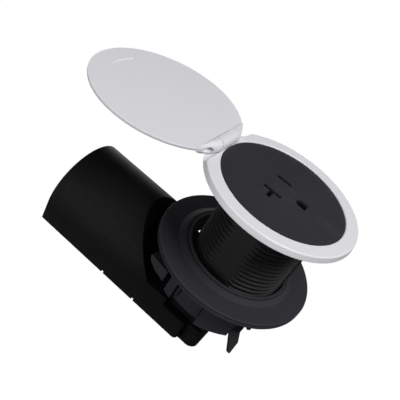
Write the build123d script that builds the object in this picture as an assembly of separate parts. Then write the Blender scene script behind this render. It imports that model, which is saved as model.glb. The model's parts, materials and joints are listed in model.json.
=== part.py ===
from build123d import *
import math
import os

# Under-desk power outlet for a round desk hole, in millimetres.
# +Z points up, out of the desk. The XY plane is the desk top, which the bezel's underside rests on.
# The lid's hinge and the wiring housing are at -X. The functions below work round the middle of the
# bezel; save() then moves every piece so that the Z axis runs through the middle of the barrel.

# Bezel, face plate and lid
BEZEL_TOP_R = 35.4
BEZEL_BOTTOM_R = 35.7
BEZEL_H = 2.8
BEZEL_BORE_R = 29.35
HINGE_SHELF_X = -29.0
HINGE_SHELF_Z = 1.9
PLATE_R = 29.2
PLATE_TOP_Z = 2.4
PLATE_LIP_R = 30.6
PLATE_LIP_H = 0.8
LID_R = 35.6
LID_T = 1.5
LID_GAP = 0.1
LID_TILT = -1.6
LID_EDGE_GAP = 3.2
LID_KNUCKLE_OUTLINE = (
    (0, 0), (34.3, 0.4), (35.0, 1.2), (LID_R - 0.01, 2.4), (LID_R - 0.01, 3.9), (35.2, 4.9), (34.4, 5.7), (33.4, 6.4),
    (0, 6.4))
GROOVE_R = 27.1
GROOVE_W = 1.3
GROOVE_DEPTH = 0.5
GROOVE_HALF_ANGLE = 17.0

# Lid hinge
HINGE_X = -32.2
HINGE_Z = 3.4
KNUCKLE_R = 2.9
KNUCKLE_SPLIT_Y = 7.0
KNUCKLE_GAP = 0.15
TROUGH_GAP = 0.3
TROUGH_END_Y = 20.7
PIN_R = 1.0
PIN_PLAY = 0.06
PIN_HALF_L = 11.6
PIN_MOUTH_R = 1.25

# Ribbed barrel, whose axis is set away from the hinge
BARREL_X = 2.15
BARREL_FLANGE_R = 33.6
BARREL_FLANGE_H = 1.2
RIB_R = 21.4
ROOT_R = 20.3
FLAT_DISTANCE = 19.8
FLAT_ANGLE = -5.0
RIDGE_R = 21.75
RIDGE_HALF_W = 2.2
RIB_PITCH = 2.36
RIB_CREST = 0.5
RIB_FLANK = 0.55
RIB_COUNT = 22
FIRST_RIB_Z = -5.82
SHOULDER_Z = -4.2
BARREL_BORE_R = 18.3
BARREL_STEP_R = 16.4
BARREL_STEP_Z = -27.5
BARREL_BOTTOM_Z = -65.2
BARREL_FLOOR_T = 2.2

# Receptacle: two straight blades 12.7 apart, the neutral one T-shaped, and a rounded ground
SLOT_X = -3.0
SLOT_Y = 6.35
GROUND_X = SLOT_X + 11.89
LINE_SLOT_L = 7.0
NEUTRAL_SLOT_L = 8.6
SLOT_W = 2.0
STEM_END_Y = -11.6
GROUND_L = 5.2
GROUND_W = 5.0
BODY_R = 17.9
BODY_BOTTOM_Z = -20.0
COVER_BOTTOM_Z = BARREL_STEP_Z
POCKET_Z = -17.0
LEAF_T = 0.5

# Clamp ring
RING_R = 37.4
RING_TOP_Z = -38.8
RING_H = 3.1
RING_BAND_H = 1.7
RING_GROOVE = 0.35
RING_FLAT_R = 28.6
RING_RISE = 1.1
RING_HOLE_X = 0.9
RING_HOLE_R = 23.5
RING_LIP_W = 1.4
RING_LIP_H = 0.75
RING_LINE_W = 0.35
SKIRT_OUT_R = 29.6
SKIRT_BOTTOM_Z = -49.2
PAD_R = 32.5
PAD_IN_R = 28.4
LUG_SPAN = (-114, -106)
LUG_BOTTOM_Z = -56.2
RECESS_SPAN = (-107, -79)
RECESS_WALL_R = 29.3
RECESS_WALL_T = 2.0
RECESS_BOTTOM_Z = -57.0
GRIP_SPAN = (-79.5, -50)
GRIP_MIDDLE_Z = -56.5
GRIP_TILT = 7.5
GUSSET_FACING = -101.0
GUSSET_PLACE = (-16.1, -27.7)
GUSSET_T = 1.6
GUSSET_TOP_Z = -48.9
GUSSET_OUTLINE = ((0.0, -55.1), (6.0, -54.2), (9.7, -52.1), (10.9, -50.2))
GUSSET_SHELF_T = 1.3

# Release levers on the clamp ring
LEVER_ANGLE = 47.7
LEVER_W = 5.0
LEVER_T = 1.3
LEVER_PIVOT_R = 31.2
LEVER_PIVOT_Z = -45.6
LEVER_BEND_Z = -52.4
LEVER_TAB_L = 9.3
LEVER_FLARE = 51.0
LEVER_EYE_R = 1.7
LEVER_PIN_R = 0.8
HEEL_GAP = 0.05
PAWL_TIP_R = 23.15
PAWL_T = 1.6
PAWL_Z = -43.2
SPRING_T = 0.3
SPRING_W = 3.6
EAR_T = 1.6
EAR_GAP = 0.35

# Wiring housing: a half-round tunnel along X, with a conical dish round the barrel's foot
TUNNEL_R = 24.8
TUNNEL_AXIS_Z = -69.5
TUNNEL_BOTTOM_Z = -80.7
TUNNEL_NEAR_X = 12.2
TUNNEL_FAR_X = -84.7
TUNNEL_CORNER_R = 4.5
WALL = 2.0
DISH_TOP_R = 45.7
DISH_TOP_Z = -44.5
DISH_BOTTOM_R = 33.0
DISH_WALL = 2.2
STEP_X = -10.5
STEP_Z = -69.0
STEP_Y = 20.5
END_BLOCK_X = 3.0
END_BLOCK_HALF_W = 22.4
MAIN_CORNER_R = 2.2
SLIT_W = 1.5
SLIT_DEPTH = 1.3
NOTCH_XS = (-43.7, -24.2)
NOTCH_SIZE = 1.2
BASE_T = 1.8
BASE_PLAY = 0.15
POST_R = 3.4
POST_XY = ((-77.0, -17.0), (-77.0, 17.0), (-27.0, -18.0), (-27.0, 18.0), (5.6, -17.6), (5.6, 17.6))
INLET_Z = -64.0
INLET_HOLE_R = 6.0
INLET_BORE_R = 4.0

# Joint between barrel and housing
FOOT_SCREWS = ((-12.5, -7.5), (-12.5, 7.5), (7.0, -8.5), (7.0, 8.5))
FOOT_BOSS_R = 3.6
FOOT_BOSS_TOP_Z = -56.0
WIRE_HOLE_X = -5.0
WIRE_HOLE_R = 6.5

# Terminal block and wires
BLOCK_X = -52.0
BLOCK_L = 16.0
BLOCK_W = 27.0
BLOCK_H = 12.0
BLOCK_PITCH = 8.0
BLOCK_BORE_R = 1.9
BLOCK_WIRE_Z = -73.2
BLOCK_SCREW_XY = ((BLOCK_X, -15.4), (BLOCK_X, 15.4))
WIRE_R = 1.3
WIRE_BEND_R = 6.0

TINY = 0.01


def save(shape, node):
    export_step(Pos(-BARREL_X, 0, 0) * shape, os.path.join("parts", node + ".step"))


def tube(outer_r, inner_r, low_z, high_z, x=0.0, y=0.0):
    """Upright tube, or a solid cylinder when the inner radius is zero."""
    height = high_z - low_z
    place = Pos(x, y, (low_z + high_z) / 2)
    body = place * Cylinder(outer_r, height)
    if inner_r > 0:
        body -= place * Cylinder(inner_r, height + 2)
    return body


def block(low, high):
    """Box between two opposite corners."""
    size = [high[i] - low[i] for i in range(3)]
    middle = [(high[i] + low[i]) / 2 for i in range(3)]
    return Pos(*middle) * Box(*size)


def rod_y(radius, low_y, high_y, x, z):
    """Cylinder along Y."""
    return Pos(x, (low_y + high_y) / 2, z) * Rot(90, 0, 0) * Cylinder(radius, high_y - low_y)


def rod_x(radius, low_x, high_x, y, z):
    """Cylinder along X."""
    return Pos((low_x + high_x) / 2, y, z) * Rot(0, 90, 0) * Cylinder(radius, high_x - low_x)


def turned(points):
    """Solid turned round the Z axis from (radius, height) points."""
    face = make_face(Polyline(*[(r, 0, z) for r, z in points], close=True))
    return revolve(face, Axis.Z)


def sector(outer_r, low_z, high_z, from_angle, to_angle):
    """Pie slice round the Z axis, used to keep or cut part of a ring."""
    reach = outer_r / math.cos(math.radians((to_angle - from_angle) / 2))
    corners = [(0, 0)]
    for angle in (from_angle, (from_angle + to_angle) / 2, to_angle):
        corners.append((reach * math.cos(math.radians(angle)), reach * math.sin(math.radians(angle))))
    face = make_face(Polyline(*corners, close=True))
    return Pos(0, 0, low_z) * extrude(face, high_z - low_z)


def screw(head_r, head_h, shank_r, shank_l):
    """Pan-head screw along Z: head below the origin plane, shank above it."""
    head = Pos(0, 0, -head_h / 2) * Cylinder(head_r, head_h)
    shank = Pos(0, 0, shank_l / 2) * Cylinder(shank_r, shank_l)
    slot_w = head_r * 0.35
    recess = Pos(0, 0, -head_h) * (Box(head_r * 1.3, slot_w, head_h) + Box(slot_w, head_r * 1.3, head_h))
    return head + shank - recess


# ---------------------------------------------------------------- lid and hinge

def make_lid():
    """Round lid in its open place. Its rim trims the two outer hinge knuckles, which are part of it."""
    top = HINGE_Z - BEZEL_H - LID_GAP
    centre_x = 2 * HINGE_X
    disc = Pos(centre_x, 0, HINGE_Z + top - LID_T / 2) * Cylinder(LID_R, LID_T)
    disc = fillet(disc.edges().group_by(Axis.Z)[0], LID_T * 0.5)
    disc = chamfer(disc.edges().group_by(Axis.Z)[-1], 0.15)
    disc -= block((HINGE_X - KNUCKLE_R + 0.3, -LID_R, 0), (0, LID_R, 9))
    groove = tube(GROOVE_R + GROOVE_W / 2, GROOVE_R - GROOVE_W / 2, -GROOVE_DEPTH, 1)
    groove &= sector(GROOVE_R + 4, -2, 2, 180 - GROOVE_HALF_ANGLE, 180 + GROOVE_HALF_ANGLE)
    disc -= Pos(centre_x, 0, HINGE_Z + top) * groove
    knuckles = rod_y(KNUCKLE_R, -LID_R, LID_R, HINGE_X, HINGE_Z)
    knuckles &= Pos(centre_x, 0, 0) * turned(LID_KNUCKLE_OUTLINE)
    lid = disc + knuckles
    gap_y = KNUCKLE_SPLIT_Y + KNUCKLE_GAP
    lid -= block((HINGE_X - LID_EDGE_GAP, -gap_y, 0), (0, gap_y, 9))
    lid -= rod_y(PIN_R + PIN_PLAY, -LID_R, LID_R, HINGE_X, HINGE_Z)
    for side in (-1, 1):
        low_y, high_y = sorted((side * PIN_HALF_L, side * LID_R))
        lid -= rod_y(PIN_MOUTH_R, low_y, high_y, HINGE_X, HINGE_Z)
    hinge = Pos(HINGE_X, 0, HINGE_Z)
    return hinge * Rot(0, LID_TILT, 0) * hinge.inverse() * lid


def make_hinge_pin():
    pin = rod_y(PIN_R, -PIN_HALF_L, PIN_HALF_L, HINGE_X, HINGE_Z)
    return chamfer(pin.edges(), 0.2)


def make_bezel():
    """Ring that rests on the desk, with the middle hinge knuckle and a trough for the lid's two."""
    lip_top = BARREL_FLANGE_H + PLATE_LIP_H
    ring = turned([
        (BARREL_FLANGE_R + 0.2, 0), (BEZEL_BOTTOM_R, 0), (BEZEL_BOTTOM_R, 0.4), (BEZEL_TOP_R, BEZEL_H - 0.6),
        (BEZEL_TOP_R - 0.12, BEZEL_H - 0.25), (BEZEL_TOP_R - 0.38, BEZEL_H - 0.06), (BEZEL_TOP_R - 0.7, BEZEL_H),
        (BEZEL_BORE_R + 0.3, BEZEL_H), (BEZEL_BORE_R, BEZEL_H - 0.3), (BEZEL_BORE_R, lip_top + 0.05),
        (PLATE_LIP_R + 0.2, lip_top + 0.05), (PLATE_LIP_R + 0.2, BARREL_FLANGE_H),
        (BARREL_FLANGE_R + 0.2, BARREL_FLANGE_H),
    ])
    ring -= block((-40, -40, HINGE_SHELF_Z), (HINGE_SHELF_X, 40, 9))
    floor = tube(BARREL_FLANGE_R + 0.8, BEZEL_BORE_R, 0, HINGE_SHELF_Z)
    ring += floor & block((-40, -TROUGH_END_Y, -1), (HINGE_X + KNUCKLE_R + 0.4, TROUGH_END_Y, 9))
    for side in (-1, 1):
        low_y, high_y = sorted((side * KNUCKLE_SPLIT_Y, side * TROUGH_END_Y))
        ring -= rod_y(KNUCKLE_R + TROUGH_GAP, low_y, high_y, HINGE_X, HINGE_Z)
    ring += rod_y(KNUCKLE_R, -KNUCKLE_SPLIT_Y, KNUCKLE_SPLIT_Y, HINGE_X, HINGE_Z)
    ring += block(
        (HINGE_X - 1.5, -KNUCKLE_SPLIT_Y, 0.2), (HINGE_X + KNUCKLE_R, KNUCKLE_SPLIT_Y, HINGE_Z))
    ring -= rod_y(PIN_R, -PIN_HALF_L, PIN_HALF_L, HINGE_X, HINGE_Z)
    for x, y in bezel_screw_places():
        ring -= tube(0.8, 0, -1, BEZEL_H - 0.5, x, y)
    return ring


def bezel_screw_places():
    radius = (BARREL_FLANGE_R + PLATE_LIP_R) / 2
    angles = (-120, -60, 0, 60, 120)
    return [(radius * math.cos(math.radians(a)), radius * math.sin(math.radians(a))) for a in angles]


def make_bezel_screws():
    """Small countersunk screws, driven up through the barrel's flange into the bezel."""
    solids = []
    for x, y in bezel_screw_places():
        head = Pos(x, y, 0.45) * Cone(1.25, 0.8, 0.9)
        solids.append(head + tube(0.8, 0, 0.9, BEZEL_H - 0.6, x, y))
    return Compound(solids)


# ---------------------------------------------------------------- face plate and receptacle

def blade_openings(low_z, high_z, grow=0.0):
    """The three openings of the receptacle, as solids to cut away."""
    half_w = SLOT_W / 2 + grow
    line_half = LINE_SLOT_L / 2 + grow
    neutral_half = NEUTRAL_SLOT_L / 2 + grow
    line = block((SLOT_X - line_half, SLOT_Y - half_w, low_z), (SLOT_X + line_half, SLOT_Y + half_w, high_z))
    bar = block((SLOT_X - neutral_half, -SLOT_Y - half_w, low_z), (SLOT_X + neutral_half, -SLOT_Y + half_w, high_z))
    stem = block((SLOT_X - half_w, STEM_END_Y - grow, low_z), (SLOT_X + half_w, -SLOT_Y, high_z))
    radius = GROUND_W / 2 + grow
    middle_x = GROUND_X - GROUND_L / 2 + GROUND_W / 2
    ground = tube(radius, 0, low_z, high_z, middle_x, 0)
    ground += block((middle_x, -radius, low_z), (GROUND_X + GROUND_L / 2 + grow, radius, high_z))
    return line + (bar + stem) + ground


def make_face_plate():
    lip_top = BARREL_FLANGE_H + PLATE_LIP_H
    plate = tube(PLATE_LIP_R, 0, BARREL_FLANGE_H, lip_top)
    plate += tube(PLATE_R, 0, lip_top - TINY, PLATE_TOP_Z)
    plate = chamfer(plate.edges().group_by(Axis.Z)[-1], 0.2)
    plate -= block((-40, -40, 0), (HINGE_X + KNUCKLE_R + 0.6, 40, lip_top + TINY))
    return plate - blade_openings(0, BEZEL_H + 1)


def contact_pockets():
    """Pockets behind the openings, where the spring contacts stand."""
    line = block((SLOT_X - 5.2, SLOT_Y - 2.4, POCKET_Z), (SLOT_X + 5.2, SLOT_Y + 2.4, -1.5))
    neutral = block((SLOT_X - 5.2, -SLOT_Y - 6.2, POCKET_Z), (SLOT_X + 5.2, -SLOT_Y + 2.4, -1.5))
    ground = block((GROUND_X - 3.4, -3.7, POCKET_Z), (GROUND_X + 3.4, 3.7, -1.5))
    return line + neutral + ground


def make_receptacle_body():
    """Moulded block in the barrel's mouth: blade openings in front, contact pockets behind."""
    body = tube(BODY_R, 0, BODY_BOTTOM_Z, BARREL_FLANGE_H, BARREL_X)
    body -= blade_openings(-2, BARREL_FLANGE_H + 1)
    body -= contact_pockets()
    for x, y in tail_places():
        body -= tube(1.6, 0, BODY_BOTTOM_Z - 1, POCKET_Z + 1, x, y)
    for x, y in cover_screw_places():
        body -= tube(1.1, 0, BODY_BOTTOM_Z - 1, BODY_BOTTOM_Z + 8, x, y)
    return body


def cover_screw_places():
    return [(BARREL_X - 8.0, 11.6), (BARREL_X + 11.0, -8.5)]


def tail_places():
    """Where the line, neutral and ground tails leave the contact pockets."""
    return [(SLOT_X, SLOT_Y + 0.8), (SLOT_X, -SLOT_Y - 4.0), (GROUND_X + 1.2, 0.0)]


def make_rear_cover():
    """Cover behind the receptacle body, resting on the barrel's inner step."""
    cover = tube(BODY_R, 0, COVER_BOTTOM_Z, BODY_BOTTOM_Z, BARREL_X)
    cover -= tube(BODY_R - 1.6, 0, COVER_BOTTOM_Z - 1, BODY_BOTTOM_Z - 2.0, BARREL_X)
    for x, y in tail_places():
        cover -= tube(1.6, 0, COVER_BOTTOM_Z - 1, BODY_BOTTOM_Z + 1, x, y)
    for x, y in cover_screw_places():
        cover -= tube(1.1, 0, COVER_BOTTOM_Z - 1, BODY_BOTTOM_Z + 1, x, y)
    return cover


def make_cover_screws():
    solids = []
    for x, y in cover_screw_places():
        solids.append(Pos(x, y, BODY_BOTTOM_Z - 2.0) * screw(1.9, 1.2, 1.1, 9.0))
    return Compound(solids)


def leaf_pair(x, y, half_l, half_gap, tail):
    """Two spring leaves with a bridge under them and a round tail to the wire."""
    low, high = POCKET_Z + 0.2, -3.0
    pair = block((x - half_l, y + half_gap, low), (x + half_l, y + half_gap + LEAF_T, high))
    pair += block((x - half_l, y - half_gap - LEAF_T, low), (x + half_l, y - half_gap, high))
    pair += block((x - half_l, y - half_gap - LEAF_T, low), (x + half_l, y + half_gap + LEAF_T, low + LEAF_T))
    pair += block((min(x, tail[0]) - 1, min(y, tail[1]) - 1, low), (max(x, tail[0]) + 1, max(y, tail[1]) + 1, low + LEAF_T))
    pair += tube(WIRE_R, 0, COVER_BOTTOM_Z + 1.0, low + TINY, tail[0], tail[1])
    return pair


def make_line_contact():
    return leaf_pair(SLOT_X, SLOT_Y, 4.2, 0.75, tail_places()[0])


def make_neutral_contact():
    contact = leaf_pair(SLOT_X, -SLOT_Y, 4.2, 0.75, tail_places()[1])
    low = POCKET_Z + 0.2
    for side in (-1, 1):
        near = side * 0.75
        far = side * (0.75 + LEAF_T)
        x_low, x_high = sorted((SLOT_X + near, SLOT_X + far))
        contact += block((x_low, -SLOT_Y - 5.6, low), (x_high, -SLOT_Y - 0.75, -3.0))
    return contact


def make_ground_contact():
    return leaf_pair(GROUND_X, 0, 2.4, 2.7, tail_places()[2])


# ---------------------------------------------------------------- barrel

def rib_profile():
    """Outline of the ribbed wall, as (radius, height) points from the top down."""
    points = [(ROOT_R, 0.0)]
    for index in range(RIB_COUNT):
        middle = FIRST_RIB_Z - index * RIB_PITCH
        points.append((ROOT_R, middle + RIB_CREST / 2 + RIB_FLANK))
        points.append((RIB_R, middle + RIB_CREST / 2))
        points.append((RIB_R, middle - RIB_CREST / 2))
        points.append((ROOT_R, middle - RIB_CREST / 2 - RIB_FLANK))
    points.append((ROOT_R, BARREL_BOTTOM_Z))
    return points


def make_barrel():
    """Ribbed barrel: flange and shoulder on top, ribs broken by two flats and two smooth ridges."""
    outline = rib_profile() + [(0, BARREL_BOTTOM_Z), (0, 0)]
    wall = turned(outline)
    wall &= Rot(0, 0, FLAT_ANGLE) * Box(100, 2 * FLAT_DISTANCE, 200)
    ridges = tube(RIDGE_R, BARREL_BORE_R + 0.5, BARREL_BOTTOM_Z, SHOULDER_Z)
    wall += ridges & block((-40, -RIDGE_HALF_W, BARREL_BOTTOM_Z), (40, RIDGE_HALF_W, SHOULDER_Z))
    wall += tube(RIB_R, 0, SHOULDER_Z, 0)
    wall = Pos(BARREL_X, 0, 0) * wall
    flange = tube(BARREL_FLANGE_R, 0, 0, BARREL_FLANGE_H)
    flange -= block((-40, -40, -1), (HINGE_X + KNUCKLE_R + 0.6, 40, 3))
    barrel = wall + flange
    barrel -= tube(BARREL_BORE_R, 0, BARREL_STEP_Z, BARREL_FLANGE_H + 1, BARREL_X)
    floor_top = BARREL_BOTTOM_Z + BARREL_FLOOR_T
    barrel -= tube(BARREL_STEP_R, 0, floor_top, BARREL_STEP_Z + TINY, BARREL_X)
    for x, y in FOOT_SCREWS:
        barrel += tube(FOOT_BOSS_R, 0, floor_top - TINY, FOOT_BOSS_TOP_Z, x, y)
        barrel -= tube(1.25, 0, BARREL_BOTTOM_Z - 1, FOOT_BOSS_TOP_Z - 1.5, x, y)
    barrel -= tube(WIRE_HOLE_R, 0, BARREL_BOTTOM_Z - 1, floor_top + 1, WIRE_HOLE_X)
    for x, y in bezel_screw_places():
        barrel -= tube(0.8, 0, -1, 3, x, y)
        barrel -= Pos(x, y, 0.45) * Cone(1.25, 0.8, 0.9)
    return barrel


def make_foot_screws():
    solids = []
    for x, y in FOOT_SCREWS:
        solids.append(Pos(x, y, BARREL_BOTTOM_Z - DISH_WALL) * screw(2.3, 1.4, 1.25, 8.0))
    return Compound(solids)


# ---------------------------------------------------------------- clamp ring and levers

def at_lever(side, shape):
    """Turn a shape made on the XZ plane to a lever's place; side is -1 or 1."""
    return Rot(0, 0, side * LEVER_ANGLE) * shape


def lever_window():
    """Slot through skirt, rim underside and bore wall where one lever swings."""
    half = LEVER_W / 2 + EAR_GAP
    outer = block((PAWL_TIP_R - 2, -half, SKIRT_BOTTOM_Z - 9), (PAD_R + 9, half, RING_TOP_Z - RING_H))
    return outer


def ring_sector(outer_r, inner_r, low_z, high_z, span):
    """Part of an upright tube between two angles."""
    return tube(outer_r, inner_r, low_z, high_z) & sector(outer_r + 1, low_z - 1, high_z + 1, *span)


def front_grips():
    """What hangs under the front half of the flange: grip wall, recess, narrow lug and flat gusset."""
    top = RING_TOP_Z - RING_H + TINY
    grip = ring_sector(PAD_R, PAD_IN_R, GRIP_MIDDLE_Z - 4, top, GRIP_SPAN)
    middle = sum(GRIP_SPAN) / 2
    below = Pos(PAD_R, 0, GRIP_MIDDLE_Z) * Rot(GRIP_TILT, 0, 0) * Pos(0, 0, -10) * Box(30, 60, 20)
    grip -= Rot(0, 0, middle) * below
    lug = ring_sector(PAD_R, PAD_IN_R, LUG_BOTTOM_Z, top, LUG_SPAN)
    wall = ring_sector(RECESS_WALL_R, RECESS_WALL_R - RECESS_WALL_T, RECESS_BOTTOM_Z, top, RECESS_SPAN)
    nubs = []
    for angle in (RECESS_SPAN[0] + 2.5, RECESS_SPAN[1] - 2.5):
        span = (angle - 1.2, angle + 1.2)
        nubs.append(ring_sector(RECESS_WALL_R + 1.3, RECESS_WALL_R - 0.5, RECESS_BOTTOM_Z + 3, top, span))
    return grip + lug + wall + nubs


def front_gusset():
    """Flat slanted plate under the front of the flange, joined to the skirt by a narrow shelf."""
    low = [(-along, 0, z) for along, z in GUSSET_OUTLINE]
    far_x = low[-1][0]
    face = make_face(Polyline((0, 0, GUSSET_TOP_Z), *low, (far_x, 0, GUSSET_TOP_Z), close=True))
    gusset = extrude(face, GUSSET_T, (0, 1, 0))
    gusset += block((far_x, 0, GUSSET_TOP_Z - GUSSET_SHELF_T), (0, 9, GUSSET_TOP_Z))
    gusset = Pos(*GUSSET_PLACE, 0) * Rot(0, 0, GUSSET_FACING + 90) * gusset
    return gusset - tube(SKIRT_OUT_R - 1.2, 0, -70, 0)


def make_clamp_ring():
    """Flange that clamps the desk from below, with raised lip, skirt, grips and lever ears."""
    bottom = RING_TOP_Z - RING_H
    band = RING_TOP_Z - RING_BAND_H
    inner_top = RING_TOP_Z + RING_RISE
    lip_r = RING_HOLE_R + RING_LIP_W
    ring = turned([
        (0, inner_top), (lip_r + RING_HOLE_X, inner_top), (RING_FLAT_R, RING_TOP_Z),
        (RING_R - 0.5, RING_TOP_Z), (RING_R - 0.15, RING_TOP_Z - 0.15), (RING_R, RING_TOP_Z - 0.5),
        (RING_R, band + 0.45), (RING_R - RING_GROOVE, band + 0.25), (RING_R - RING_GROOVE, band),
        (RING_R, band - 0.2), (RING_R, bottom + 0.4), (RING_R - 0.4, bottom),
        (SKIRT_OUT_R, bottom), (SKIRT_OUT_R, SKIRT_BOTTOM_Z), (0, SKIRT_BOTTOM_Z),
    ])
    hole = turned([
        (0, inner_top + RING_LIP_H), (RING_HOLE_R + 0.3, inner_top + RING_LIP_H), (RING_HOLE_R, inner_top + 0.4),
        (RING_HOLE_R, SKIRT_BOTTOM_Z + 2), (RING_HOLE_R + 1.5, SKIRT_BOTTOM_Z - 1), (0, SKIRT_BOTTOM_Z - 1),
    ])
    lip = turned([
        (0, inner_top - 1), (lip_r, inner_top - 1), (lip_r, inner_top + RING_LIP_H - 0.35),
        (lip_r - 0.35, inner_top + RING_LIP_H), (0, inner_top + RING_LIP_H),
    ])
    line = tube(lip_r + RING_LINE_W, lip_r, inner_top - 0.4, inner_top + 1)
    aside = Pos(RING_HOLE_X, 0, 0)
    ring = ring + aside * lip - aside * line - aside * hole
    grips = front_grips()
    ring += grips + mirror(grips, Plane.XZ) + front_gusset()
    for side in (-1, 1):
        ring -= at_lever(side, lever_window())
        for edge in (-1, 1):
            inner_y = edge * (LEVER_W / 2 + EAR_GAP)
            outer_y = edge * (LEVER_W / 2 + EAR_GAP + EAR_T)
            low_y, high_y = sorted((inner_y, outer_y))
            low_x = SKIRT_OUT_R - 1.5
            ear = block((low_x, low_y, LEVER_PIVOT_Z - 2.4), (LEVER_PIVOT_R + 2.2, high_y, bottom + TINY))
            ear -= rod_y(LEVER_PIN_R, low_y - 1, high_y + 1, LEVER_PIVOT_R, LEVER_PIVOT_Z)
            ring += at_lever(side, ear)
        pin_hole = rod_y(LEVER_PIN_R, -LEVER_W, LEVER_W, LEVER_PIVOT_R, LEVER_PIVOT_Z)
        ring -= at_lever(side, pin_hole)
    return ring


def make_lever(side):
    """Pinch lever: eye and stop heel at the pivot, pawl reaching in to the ribs, flared tab below."""
    half = LEVER_W / 2
    half_t = LEVER_T / 2
    eye = rod_y(LEVER_EYE_R, -half, half, LEVER_PIVOT_R, LEVER_PIVOT_Z)
    pawl = block((PAWL_TIP_R + 1.2, -half, PAWL_Z - PAWL_T), (LEVER_PIVOT_R, half, PAWL_Z))
    nose = Pos(0, half, 0) * extrude(make_face(Polyline(
        (PAWL_TIP_R, 0, PAWL_Z - PAWL_T / 2 + 0.25), (PAWL_TIP_R, 0, PAWL_Z - PAWL_T / 2 - 0.25),
        (PAWL_TIP_R + 1.3, 0, PAWL_Z - PAWL_T), (PAWL_TIP_R + 1.3, 0, PAWL_Z), close=True)), 2 * half, (0, -1, 0))
    stem = block(
        (LEVER_PIVOT_R - half_t, -half, LEVER_BEND_Z - half_t), (LEVER_PIVOT_R + half_t, half, LEVER_PIVOT_Z))
    outline = Polyline(
        (-half, 0), (half, 0), (half - 0.25, -4.3), (-half + 1.5, -LEVER_TAB_L), (-half + 0.4, 0.8 - LEVER_TAB_L),
        close=True)
    tab = extrude(Plane.YZ * make_face(outline), LEVER_T, (-1, 0, 0))
    tab = Pos(LEVER_PIVOT_R + half_t, 0, LEVER_BEND_Z) * Rot(0, -LEVER_FLARE, 0) * tab
    heel_top = RING_TOP_Z - RING_H - HEEL_GAP
    heel = block((LEVER_PIVOT_R + 0.3, -half, LEVER_PIVOT_Z), (LEVER_PIVOT_R + LEVER_EYE_R, half, heel_top))
    lever = eye + pawl + nose + stem + tab + heel
    lever -= rod_y(LEVER_PIN_R + 0.05, -half - 1, half + 1, LEVER_PIVOT_R, LEVER_PIVOT_Z)
    if side > 0:
        lever = mirror(lever, Plane.XZ)
    return at_lever(side, lever)


def make_lever_pins():
    half = LEVER_W / 2 + EAR_GAP + EAR_T
    pin = rod_y(LEVER_PIN_R, -half, half, LEVER_PIVOT_R, LEVER_PIVOT_Z)
    return Compound([at_lever(side, pin) for side in (-1, 1)])


def make_lever_spring(side):
    """Bowed leaf spring between the flange's underside and the lever's pawl."""
    top = RING_TOP_Z - RING_H
    low_x, high_x = PAWL_TIP_R + 2.4, LEVER_PIVOT_R - 1.0
    middle_x = (low_x + high_x) / 2
    leaf = Polyline(
        (low_x, 0, PAWL_Z), (middle_x, 0, top - SPRING_T), (high_x, 0, PAWL_Z),
        (high_x, 0, PAWL_Z + SPRING_T), (middle_x, 0, top), (low_x, 0, PAWL_Z + SPRING_T), close=True)
    strip = extrude(make_face(leaf), SPRING_W / 2, (0, 1, 0), both=True)
    return at_lever(side, strip)


# ---------------------------------------------------------------- housing

def tunnel(grow, near_x, far_x, bottom_z):
    """Half-round tunnel along X with upright sides; grow is negative for the inside."""
    radius = TUNNEL_R + grow
    left, right = -radius, radius
    sides = Polyline(
        (far_x, left, TUNNEL_AXIS_Z), (far_x, left, bottom_z), (far_x, right, bottom_z), (far_x, right, TUNNEL_AXIS_Z))
    arch = ThreePointArc(
        (far_x, right, TUNNEL_AXIS_Z), (far_x, 0, TUNNEL_AXIS_Z + radius), (far_x, left, TUNNEL_AXIS_Z))
    return extrude(make_face([sides, arch]), near_x - far_x, (1, 0, 0))


def dish(grow):
    """Conical dish round the barrel's foot, with a flat floor; grow thickens it to leave a wall."""
    slope = (DISH_TOP_R - DISH_BOTTOM_R) / (DISH_TOP_Z - BARREL_BOTTOM_Z)
    low = BARREL_BOTTOM_Z - grow
    high = DISH_TOP_Z + 10
    low_r = DISH_BOTTOM_R + grow
    high_r = DISH_BOTTOM_R + grow + slope * (high - BARREL_BOTTOM_Z)
    return turned([(0, low), (low_r, low), (high_r, high), (0, high)])


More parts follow.
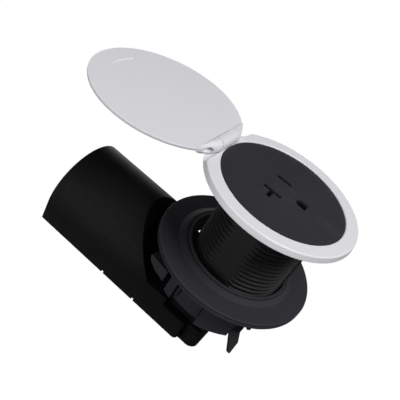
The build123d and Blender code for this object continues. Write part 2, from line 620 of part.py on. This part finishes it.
def make_housing():
    """Upper shell of the wiring housing."""
    shell = tunnel(0, TUNNEL_NEAR_X, TUNNEL_FAR_X, TUNNEL_BOTTOM_Z)
    end = block((0, -END_BLOCK_HALF_W, TUNNEL_BOTTOM_Z - 9), (TUNNEL_NEAR_X, END_BLOCK_HALF_W, 0))
    end = fillet(end.edges().filter_by(Axis.Z).group_by(Axis.X)[-1], TUNNEL_CORNER_R)
    main = block((TUNNEL_FAR_X - 9, -TUNNEL_R, TUNNEL_BOTTOM_Z - 9), (END_BLOCK_X, TUNNEL_R, 0))
    main = fillet(main.edges().filter_by(Axis.Z).group_by(Axis.X)[-1], MAIN_CORNER_R)
    shell &= end + main
    shell -= dish(0)
    for side in (-1, 1):
        low_y, high_y = sorted((side * STEP_Y, side * 40))
        shell -= block((STEP_X, low_y, STEP_Z), (40, high_y, 0))
    room = tunnel(-WALL, TUNNEL_NEAR_X - WALL, TUNNEL_FAR_X + WALL, TUNNEL_BOTTOM_Z - 1)
    room -= dish(DISH_WALL)
    for side in (-1, 1):
        low_y, high_y = sorted((side * (STEP_Y - WALL), side * 40))
        room -= block((STEP_X - WALL, low_y, STEP_Z - WALL), (40, high_y, 0))
        low_y, high_y = sorted((side * (END_BLOCK_HALF_W - WALL), side * 40))
        room -= block((END_BLOCK_X - WALL, low_y, TUNNEL_BOTTOM_Z - 9), (40, high_y, 0))
    posts = [tube(POST_R, 0, TUNNEL_BOTTOM_Z + BASE_T, DISH_TOP_Z, x, y) for x, y in POST_XY]
    for post in posts:
        room -= post
    shell -= room
    for side in (-1, 1):
        low_y, high_y = sorted((side * (END_BLOCK_HALF_W - SLIT_DEPTH), side * 40))
        shell -= block((END_BLOCK_X, low_y, TUNNEL_BOTTOM_Z + 2), (END_BLOCK_X + SLIT_W, high_y, STEP_Z + 1))
        low_y, high_y = sorted((side * (TUNNEL_R - WALL - 1), side * 40))
        for x in NOTCH_XS:
            half = NOTCH_SIZE / 2
            shell -= block((x - half, low_y, TUNNEL_BOTTOM_Z - 1), (x + half, high_y, TUNNEL_BOTTOM_Z + NOTCH_SIZE))
    for x, y in POST_XY:
        shell -= tube(1.1, 0, TUNNEL_BOTTOM_Z - 1, TUNNEL_BOTTOM_Z + BASE_T + 8, x, y)
    for x, y in FOOT_SCREWS:
        shell -= tube(1.35, 0, BARREL_BOTTOM_Z - DISH_WALL - 1, BARREL_BOTTOM_Z + 1, x, y)
    shell -= tube(WIRE_HOLE_R, 0, BARREL_BOTTOM_Z - DISH_WALL - 1, BARREL_BOTTOM_Z + 1, WIRE_HOLE_X)
    shell -= rod_x(INLET_HOLE_R, TUNNEL_FAR_X - 1, TUNNEL_FAR_X + WALL + 1, 0, INLET_Z)
    return shell


def make_base():
    """Flat cover that closes the housing from below."""
    half_y = TUNNEL_R - WALL - BASE_PLAY
    low_x = TUNNEL_FAR_X + WALL + BASE_PLAY
    high_x = TUNNEL_NEAR_X - WALL - BASE_PLAY
    base = block((low_x, -half_y, TUNNEL_BOTTOM_Z), (high_x, half_y, TUNNEL_BOTTOM_Z + BASE_T))
    narrow_y = END_BLOCK_HALF_W - WALL - BASE_PLAY
    for side in (-1, 1):
        low_y, high_y = sorted((side * narrow_y, side * 40))
        base -= block((END_BLOCK_X - WALL - BASE_PLAY, low_y, -90), (40, high_y, 0))
    for x, y in POST_XY:
        base -= tube(1.2, 0, TUNNEL_BOTTOM_Z - 1, TUNNEL_BOTTOM_Z + BASE_T + 1, x, y)
        base -= tube(2.3, 0, TUNNEL_BOTTOM_Z - 1, TUNNEL_BOTTOM_Z + 1.0, x, y)
    for x, y in BLOCK_SCREW_XY:
        base -= tube(1.1, 0, TUNNEL_BOTTOM_Z - 1, TUNNEL_BOTTOM_Z + BASE_T + 1, x, y)
    return base


def make_base_screws():
    return Compound([Pos(x, y, TUNNEL_BOTTOM_Z + 1.0) * screw(2.1, 0.9, 1.1, 6.5) for x, y in POST_XY])


def make_inlet_grommet():
    """Bushing in the housing's end wall, where the supply cable enters."""
    grommet = rod_x(INLET_HOLE_R, TUNNEL_FAR_X - TINY, TUNNEL_FAR_X + WALL, 0, INLET_Z)
    grommet += rod_x(INLET_HOLE_R + 1.8, TUNNEL_FAR_X - 1.6, TUNNEL_FAR_X, 0, INLET_Z)
    grommet += rod_x(INLET_HOLE_R + 1.2, TUNNEL_FAR_X + WALL, TUNNEL_FAR_X + WALL + 1.6, 0, INLET_Z)
    return grommet - rod_x(INLET_BORE_R, TUNNEL_FAR_X - 3, TUNNEL_FAR_X + WALL + 3, 0, INLET_Z)


# ---------------------------------------------------------------- wiring

def block_ways():
    return [-BLOCK_PITCH, 0.0, BLOCK_PITCH]


def make_terminal_block():
    floor_z = TUNNEL_BOTTOM_Z + BASE_T
    half_l = BLOCK_L / 2
    body = block((BLOCK_X - half_l, -BLOCK_W / 2, floor_z), (BLOCK_X + half_l, BLOCK_W / 2, floor_z + BLOCK_H))
    for side in (-1, 1):
        low_y, high_y = sorted((side * (BLOCK_W / 2 - 1), side * 17.8))
        body += block((BLOCK_X - 3, low_y, floor_z), (BLOCK_X + 3, high_y, floor_z + 3))
    for y in block_ways():
        body -= rod_x(BLOCK_BORE_R, BLOCK_X - half_l - 1, BLOCK_X + half_l + 1, y, BLOCK_WIRE_Z)
        for x in (BLOCK_X - 4.5, BLOCK_X + 4.5):
            body -= tube(1.7, 0, BLOCK_WIRE_Z, floor_z + BLOCK_H + 1, x, y)
    for x, y in BLOCK_SCREW_XY:
        body -= tube(1.1, 0, floor_z - 1, floor_z + 4, x, y)
    return body


def make_block_clamp_screws():
    """Slotted screws that press the wires in the terminal block."""
    solids = []
    top = TUNNEL_BOTTOM_Z + BASE_T + BLOCK_H - 0.6
    for y in block_ways():
        for x in (BLOCK_X - 4.5, BLOCK_X + 4.5):
            body = tube(1.6, 0, BLOCK_WIRE_Z + WIRE_R, top, x, y)
            solids.append(body - block((x - 2, y - 0.3, top - 0.8), (x + 2, y + 0.3, top + 1)))
    return Compound(solids)


def make_block_fixing_screws():
    top = TUNNEL_BOTTOM_Z + BASE_T + 3.0
    down = Rot(180, 0, 0)
    return Compound([Pos(x, y, top) * down * screw(1.9, 1.2, 1.1, 4.2) for x, y in BLOCK_SCREW_XY])


def make_wire(tail, through_y, way_y):
    """Insulated wire from a contact's tail, down the barrel, to its way in the terminal block."""
    x, y = tail
    route = [
        (x, y, COVER_BOTTOM_Z + 1.0),
        (x, y, -38.0),
        (WIRE_HOLE_X, through_y, -54.0),
        (WIRE_HOLE_X, through_y, BLOCK_WIRE_Z),
    ]
    if way_y != through_y:
        route += [(-18.0, through_y, BLOCK_WIRE_Z), (-34.0, way_y, BLOCK_WIRE_Z)]
    route.append((BLOCK_X + 1.0, way_y, BLOCK_WIRE_Z))
    path = FilletPolyline(*route, radius=WIRE_BEND_R)
    start = Plane(origin=path @ 0, z_dir=path % 0)
    return sweep(start * Circle(WIRE_R), path)


# ---------------------------------------------------------------- all parts

os.makedirs("parts", exist_ok=True)

save(make_lid(), "lid")
save(make_hinge_pin(), "hinge_pin")
save(make_bezel(), "bezel_ring")
save(make_bezel_screws(), "bezel_screws")
save(make_face_plate(), "face_plate")
save(make_receptacle_body(), "receptacle_body")
save(make_rear_cover(), "receptacle_rear_cover")
save(make_cover_screws(), "rear_cover_screws")
save(make_line_contact(), "line_contact")
save(make_neutral_contact(), "neutral_contact")
save(make_ground_contact(), "ground_contact")
save(make_barrel(), "ribbed_barrel")
save(make_foot_screws(), "barrel_foot_screws")
save(make_clamp_ring(), "clamp_ring")
save(make_lever(-1), "release_lever_front")
save(make_lever(1), "release_lever_rear")
save(make_lever_pins(), "lever_pivot_pins")
save(make_lever_spring(-1), "lever_spring_front")
save(make_lever_spring(1), "lever_spring_rear")
save(make_housing(), "housing_shell")
save(make_base(), "housing_base")
save(make_base_screws(), "housing_base_screws")
save(make_inlet_grommet(), "cable_inlet_grommet")
save(make_terminal_block(), "terminal_block")
save(make_block_clamp_screws(), "terminal_clamp_screws")
save(make_block_fixing_screws(), "terminal_block_screws")
tails = tail_places()
save(make_wire(tails[0], 3.6, BLOCK_PITCH), "line_wire")
save(make_wire(tails[1], -3.6, -BLOCK_PITCH), "neutral_wire")
save(make_wire(tails[2], 0.0, 0.0), "ground_wire")
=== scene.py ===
import json
import math

import bmesh
import bpy
from mathutils import Matrix, Vector


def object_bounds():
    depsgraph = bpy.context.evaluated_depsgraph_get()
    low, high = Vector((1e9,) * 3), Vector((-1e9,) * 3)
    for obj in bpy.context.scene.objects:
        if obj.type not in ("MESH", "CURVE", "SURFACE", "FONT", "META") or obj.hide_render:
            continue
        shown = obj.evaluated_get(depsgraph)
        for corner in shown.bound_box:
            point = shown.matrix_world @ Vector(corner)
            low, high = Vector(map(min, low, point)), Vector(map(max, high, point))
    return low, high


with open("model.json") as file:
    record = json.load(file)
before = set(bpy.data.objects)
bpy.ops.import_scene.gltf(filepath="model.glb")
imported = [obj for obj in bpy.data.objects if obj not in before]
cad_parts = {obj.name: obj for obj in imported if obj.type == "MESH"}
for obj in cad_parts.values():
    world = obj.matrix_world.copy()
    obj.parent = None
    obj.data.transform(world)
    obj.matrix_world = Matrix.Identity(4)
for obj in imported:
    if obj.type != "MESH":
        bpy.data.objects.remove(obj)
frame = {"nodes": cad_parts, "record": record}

CAD_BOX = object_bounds()
MM = 0.001

# Noise scales are cells per metre of the object's own coordinates.
DRIFT_SCALE = 28.0
PATCH_SCALE = 95.0
SCUFF_SCALE = 420.0
STAIN_SCALE = 160.0
DRAWN_LINE_SCALE = 900.0
EDGE_WEAR_START = 0.52
EDGE_WEAR_FULL = 0.62
WORN_PALER_BY = 0.16
GRAIN_DEPTH = 0.02 * MM
DRAWN_LINE_DEPTH = 0.01 * MM
TARNISH = 0.72
TARNISH_MIN_MIX = 0.3
METAL_ROUGH_DOWN = 0.10
METAL_ROUGH_UP = 0.12


# ---------------------------------------------------------------- materials

def new_material(name):
    mat = bpy.data.materials.new(name)
    mat.use_nodes = True
    nodes = mat.node_tree.nodes
    nodes.clear()
    out = nodes.new("ShaderNodeOutputMaterial")
    bsdf = nodes.new("ShaderNodeBsdfPrincipled")
    mat.node_tree.links.new(bsdf.outputs["BSDF"], out.inputs["Surface"])
    return mat, nodes, mat.node_tree.links, bsdf


def noise(nodes, links, coords, scale, detail=3.0):
    tex = nodes.new("ShaderNodeTexNoise")
    tex.inputs["Scale"].default_value = scale
    tex.inputs["Detail"].default_value = detail
    links.new(coords.outputs["Object"], tex.inputs["Vector"])
    return tex


def ramp(nodes, links, source, low, high):
    """Maps a 0..1 value to low..high."""
    span = nodes.new("ShaderNodeMapRange")
    span.inputs["To Min"].default_value = low
    span.inputs["To Max"].default_value = high
    links.new(source, span.inputs["Value"])
    return span.outputs["Result"]


def edge_wear(nodes, links, coords, base, color, wear):
    """Blends a paler colour over the convex edges, broken up by a scuffed noise."""
    geo = nodes.new("ShaderNodeNewGeometry")
    edge = nodes.new("ShaderNodeMapRange")
    edge.inputs["From Min"].default_value = EDGE_WEAR_START
    edge.inputs["From Max"].default_value = EDGE_WEAR_FULL
    links.new(geo.outputs["Pointiness"], edge.inputs["Value"])
    scuff = noise(nodes, links, coords, SCUFF_SCALE, 4.0)
    gate = nodes.new("ShaderNodeMath")
    gate.operation = "MULTIPLY"
    links.new(edge.outputs["Result"], gate.inputs[0])
    links.new(ramp(nodes, links, scuff.outputs["Fac"], 0.0, wear), gate.inputs[1])
    worn = nodes.new("ShaderNodeMix")
    worn.data_type = "RGBA"
    worn.inputs["B"].default_value = (*[min(1.0, c + WORN_PALER_BY) for c in color], 1)
    links.new(base, worn.inputs["A"])
    links.new(gate.outputs["Value"], worn.inputs["Factor"])
    return worn.outputs["Result"]


def add_bump(nodes, links, bsdf, height, strength, depth):
    """Bump from a 0..1 height, given its strength and its depth in metres."""
    bump = nodes.new("ShaderNodeBump")
    bump.inputs["Strength"].default_value = strength
    bump.inputs["Distance"].default_value = depth
    links.new(height, bump.inputs["Height"])
    links.new(bump.outputs["Normal"], bsdf.inputs["Normal"])


def plastic(name, color, rough, grain_mm, grain, tint, rough_spread, wear=0.0, specular=0.5):
    """Moulded plastic: fine spark-eroded grain, faint colour drift, patchy gloss, paler worn edges."""
    mat, nodes, links, bsdf = new_material(name)
    coords = nodes.new("ShaderNodeTexCoord")
    drift = noise(nodes, links, coords, DRIFT_SCALE, 2.0)
    low = [c * (1 - tint) for c in color]
    high = [min(1.0, c * (1 + tint)) for c in color]
    mix = nodes.new("ShaderNodeMix")
    mix.data_type = "RGBA"
    mix.inputs["A"].default_value = (*low, 1)
    mix.inputs["B"].default_value = (*high, 1)
    links.new(drift.outputs["Fac"], mix.inputs["Factor"])
    base = mix.outputs["Result"]
    if wear > 0:
        base = edge_wear(nodes, links, coords, base, color, wear)
    links.new(base, bsdf.inputs["Base Color"])
    patches = noise(nodes, links, coords, PATCH_SCALE, 4.0)
    gloss = ramp(nodes, links, patches.outputs["Fac"], rough - rough_spread, rough + rough_spread)
    links.new(gloss, bsdf.inputs["Roughness"])
    grit = noise(nodes, links, coords, 1.0 / (grain_mm * MM), 2.0)
    add_bump(nodes, links, bsdf, grit.outputs["Fac"], grain, GRAIN_DEPTH)
    bsdf.inputs["Specular IOR Level"].default_value = specular
    return mat


def insulation(name, color, tint):
    """Smooth soft plastic skin of a wire."""
    return plastic(name, color, 0.38, grain_mm=0.5, grain=0.12, tint=tint, rough_spread=0.05)


def metal(name, color, rough, along, scratches=0.35):
    """Plated or stamped metal: lines packed closest along the axis with the largest scale, slight tarnish."""
    mat, nodes, links, bsdf = new_material(name)
    coords = nodes.new("ShaderNodeTexCoord")
    stretch = nodes.new("ShaderNodeMapping")
    stretch.inputs["Scale"].default_value = along
    links.new(coords.outputs["Object"], stretch.inputs["Vector"])
    lines = nodes.new("ShaderNodeTexNoise")
    lines.inputs["Scale"].default_value = DRAWN_LINE_SCALE
    lines.inputs["Detail"].default_value = 3.0
    links.new(stretch.outputs["Vector"], lines.inputs["Vector"])
    stain = noise(nodes, links, coords, STAIN_SCALE, 3.0)
    mix = nodes.new("ShaderNodeMix")
    mix.data_type = "RGBA"
    mix.inputs["A"].default_value = (*[c * TARNISH for c in color], 1)
    mix.inputs["B"].default_value = (*color, 1)
    links.new(ramp(nodes, links, stain.outputs["Fac"], TARNISH_MIN_MIX, 1.0), mix.inputs["Factor"])
    links.new(mix.outputs["Result"], bsdf.inputs["Base Color"])
    bsdf.inputs["Metallic"].default_value = 1.0
    gloss = ramp(nodes, links, lines.outputs["Fac"], rough - METAL_ROUGH_DOWN, rough + METAL_ROUGH_UP)
    links.new(gloss, bsdf.inputs["Roughness"])
    add_bump(nodes, links, bsdf, lines.outputs["Fac"], scratches, DRAWN_LINE_DEPTH)
    return mat


MATERIALS = {
    "white_plastic": plastic(
        "white_satin_plastic", (0.85, 0.85, 0.885), 0.42,
        grain_mm=0.22, grain=0.08, tint=0.008, rough_spread=0.05),
    "face_plastic": plastic(
        "face_matte_plastic", (0.020, 0.0205, 0.0245), 0.50,
        grain_mm=0.30, grain=0.30, tint=0.08, rough_spread=0.05, wear=0.12, specular=0.6),
    "black_plastic": plastic(
        "black_satin_plastic", (0.0070, 0.0070, 0.0078), 0.56,
        grain_mm=0.30, grain=0.30, tint=0.05, rough_spread=0.03, wear=0.05, specular=0.06),
    "inner_plastic": plastic(
        "inner_grey_plastic", (0.010, 0.010, 0.011), 0.60,
        grain_mm=0.30, grain=0.30, tint=0.10, rough_spread=0.06, specular=0.3),
    "block_plastic": plastic(
        "terminal_block_plastic", (0.62, 0.61, 0.56), 0.50,
        grain_mm=0.30, grain=0.20, tint=0.04, rough_spread=0.06),
    "steel": metal("zinc_plated_steel", (0.62, 0.62, 0.60), 0.34, along=(1.0, 1.0, 14.0)),
    "spring_steel": metal("bare_spring_steel", (0.42, 0.42, 0.43), 0.30, along=(1.0, 12.0, 1.0)),
    "brass": metal("stamped_brass", (0.78, 0.58, 0.27), 0.32, along=(1.0, 1.0, 10.0)),
    "rubber": plastic(
        "black_rubber", (0.018, 0.018, 0.018), 0.72,
        grain_mm=0.35, grain=0.45, tint=0.12, rough_spread=0.05),
    "wire_black": insulation("black_wire_insulation", (0.015, 0.015, 0.015), 0.10),
    "wire_white": insulation("white_wire_insulation", (0.66, 0.65, 0.62), 0.03),
    "wire_green": insulation("green_wire_insulation", (0.02, 0.19, 0.055), 0.08),
}

# Painted light: lighter copies of the black plastic, each one's base colour raised to stand in for the light
# that falls on that piece.
FLANGE_LIT_COPY = plastic(
    "flange_lit_copy_plastic", (0.033, 0.033, 0.040), 0.52,
    grain_mm=0.28, grain=0.30, tint=0.08, rough_spread=0.06, wear=0.06, specular=0.12)
BARREL_LIT_COPY = plastic(
    "barrel_lit_copy_plastic", (0.015, 0.015, 0.0152), 0.46,
    grain_mm=0.28, grain=0.25, tint=0.08, rough_spread=0.06, wear=0.10, specular=0.30)
LEVER_LIT_COPY = plastic(
    "lever_lit_copy_plastic", (0.010, 0.010, 0.012), 0.55,
    grain_mm=0.28, grain=0.30, tint=0.08, rough_spread=0.06, wear=0.06, specular=0.12)
# These pieces share the slot black_plastic in the record; each gets its own lighter copy of that black,
# painted light whose brightness is set per piece for how the lamps fall on it.
LIT_COPY_OF_PIECE = {
    "clamp_ring": FLANGE_LIT_COPY,
    "release_lever_front": LEVER_LIT_COPY,
    "release_lever_rear": LEVER_LIT_COPY,
    "ribbed_barrel": BARREL_LIT_COPY,
}
SLOT_OF = {entry["node"]: entry["material_slot"] for entry in frame["record"]["subparts"]}

# The pieces listed above take their painted-light copy in place of the slot's own plastic.
for node, obj in frame["nodes"].items():
    obj.data.materials.clear()
    obj.data.materials.append(LIT_COPY_OF_PIECE.get(node, MATERIALS[SLOT_OF[node]]))


# ---------------------------------------------------------------- camera, light and floor

# Places are in metres and angles in degrees.
FLOOR_BOUNCE = 0.12
SKY_TOWARDS = (0.0, -0.6, 0.6)
SKY_DARK = 0.04
SKY_BRIGHT = 0.14
LIGHTS_AIM = (-0.02, 0.0, -0.03)
# name, direction from the aim, distance, width of the square, brightness it gives a white surface facing it
LIGHTS = (
    ("key", (0.39, -0.22, 0.89), 1.0, 0.42, 0.70),
    ("back_right", (0.70, 0.65, 0.50), 1.0, 0.6, 0.12),
    ("front_fill", (-0.38, -0.91, 0.12), 1.0, 0.8, 0.42),
    ("rear_fill", (-0.50, 0.86, -0.14), 1.0, 0.5, 0.26),
)
CAMERA_PLACE = (0.0177, -0.1946, 0.1143)
CAMERA_AZIMUTH = 13.77
CAMERA_ELEVATION = 35.56
CAMERA_ROLL = 32.19
CAMERA_LENS = 49.21
CAMERA_SENSOR = 36.0
FLOOR_DROP = 0.30
FLOOR_HALF_SIZE = 6.0
FLOOR_CELLS = 8
SKY_TINT = (0.985, 0.99, 1.0, 1)
SKY_DARK_FROM = -0.7


def add_camera():
    data = bpy.data.cameras.new("camera")
    data.lens = CAMERA_LENS
    data.sensor_width = CAMERA_SENSOR
    data.clip_start = 0.01
    data.clip_end = 20.0
    cam = bpy.data.objects.new("camera", data)
    turn = Matrix.Rotation(math.radians(CAMERA_AZIMUTH), 4, "Z")
    tip = Matrix.Rotation(math.radians(90 - CAMERA_ELEVATION), 4, "X")
    roll = Matrix.Rotation(math.radians(CAMERA_ROLL), 4, "Z")
    cam.matrix_world = Matrix.Translation(CAMERA_PLACE) @ turn @ tip @ roll
    bpy.context.scene.collection.objects.link(cam)
    bpy.context.scene.camera = cam


def softbox(name, direction, distance, size, light):
    """Square soft light; light is the brightness it gives a white surface that faces it."""
    data = bpy.data.lights.new(name, "AREA")
    data.shape = "SQUARE"
    data.size = size
    data.energy = light * math.pi ** 2 * distance ** 2
    lamp = bpy.data.objects.new(name, data)
    out = Vector(direction).normalized()
    place = Vector(LIGHTS_AIM) + out * distance
    lamp.matrix_world = Matrix.Translation(place) @ out.to_track_quat("Z", "Y").to_matrix().to_4x4()
    bpy.context.scene.collection.objects.link(lamp)


def add_floor():
    """Pale floor below the object: plain white to the camera, a dim matte grey to the light it bounces."""
    mesh = bpy.data.meshes.new("floor")
    grid = bmesh.new()
    bmesh.ops.create_grid(grid, x_segments=FLOOR_CELLS, y_segments=FLOOR_CELLS, size=FLOOR_HALF_SIZE)
    grid.to_mesh(mesh)
    grid.free()
    floor = bpy.data.objects.new("floor", mesh)
    floor.location = (0, 0, CAD_BOX[0][2] - FLOOR_DROP)
    bpy.context.scene.collection.objects.link(floor)
    mat, nodes, links, bsdf = new_material("pale_floor")
    bsdf.inputs["Base Color"].default_value = (FLOOR_BOUNCE, FLOOR_BOUNCE, FLOOR_BOUNCE, 1)
    bsdf.inputs["Roughness"].default_value = 0.9
    bsdf.inputs["Specular IOR Level"].default_value = 0.1
    glow = nodes.new("ShaderNodeEmission")
    glow.inputs["Strength"].default_value = 1.0
    path = nodes.new("ShaderNodeLightPath")
    mix = nodes.new("ShaderNodeMixShader")
    out = next(n for n in nodes if n.type == "OUTPUT_MATERIAL")
    links.new(path.outputs["Is Camera Ray"], mix.inputs[0])
    links.new(bsdf.outputs["BSDF"], mix.inputs[1])
    links.new(glow.outputs["Emission"], mix.inputs[2])
    links.new(mix.outputs["Shader"], out.inputs["Surface"])
    floor.data.materials.append(mat)


def add_world():
    """Studio surroundings: white where the camera sees them, a soft front-to-back gradient as light."""
    world = bpy.data.worlds.new("studio")
    world.use_nodes = True
    nodes, links = world.node_tree.nodes, world.node_tree.links
    seen = nodes["Background"]
    seen.inputs["Color"].default_value = (1, 1, 1, 1)
    seen.inputs["Strength"].default_value = 1.0
    coords = nodes.new("ShaderNodeTexCoord")
    facing = nodes.new("ShaderNodeVectorMath")
    facing.operation = "DOT_PRODUCT"
    facing.inputs[1].default_value = Vector(SKY_TOWARDS).normalized()
    links.new(coords.outputs["Generated"], facing.inputs[0])
    span = nodes.new("ShaderNodeMapRange")
    span.interpolation_type = "SMOOTHSTEP"
    span.inputs["From Min"].default_value = SKY_DARK_FROM
    span.inputs["From Max"].default_value = 1.0
    span.inputs["To Min"].default_value = SKY_DARK
    span.inputs["To Max"].default_value = SKY_BRIGHT
    links.new(facing.outputs["Value"], span.inputs["Value"])
    light = nodes.new("ShaderNodeBackground")
    light.inputs["Color"].default_value = SKY_TINT
    links.new(span.outputs["Result"], light.inputs["Strength"])
    path = nodes.new("ShaderNodeLightPath")
    mix = nodes.new("ShaderNodeMixShader")
    links.new(path.outputs["Is Camera Ray"], mix.inputs[0])
    links.new(light.outputs["Background"], mix.inputs[1])
    links.new(seen.outputs["Background"], mix.inputs[2])
    links.new(mix.outputs["Shader"], nodes["World Output"].inputs["Surface"])
    bpy.context.scene.world = world


add_camera()
add_floor()
add_world()
bpy.context.scene.view_settings.view_transform = "Standard"
for lamp_facts in LIGHTS:
    softbox(*lamp_facts)
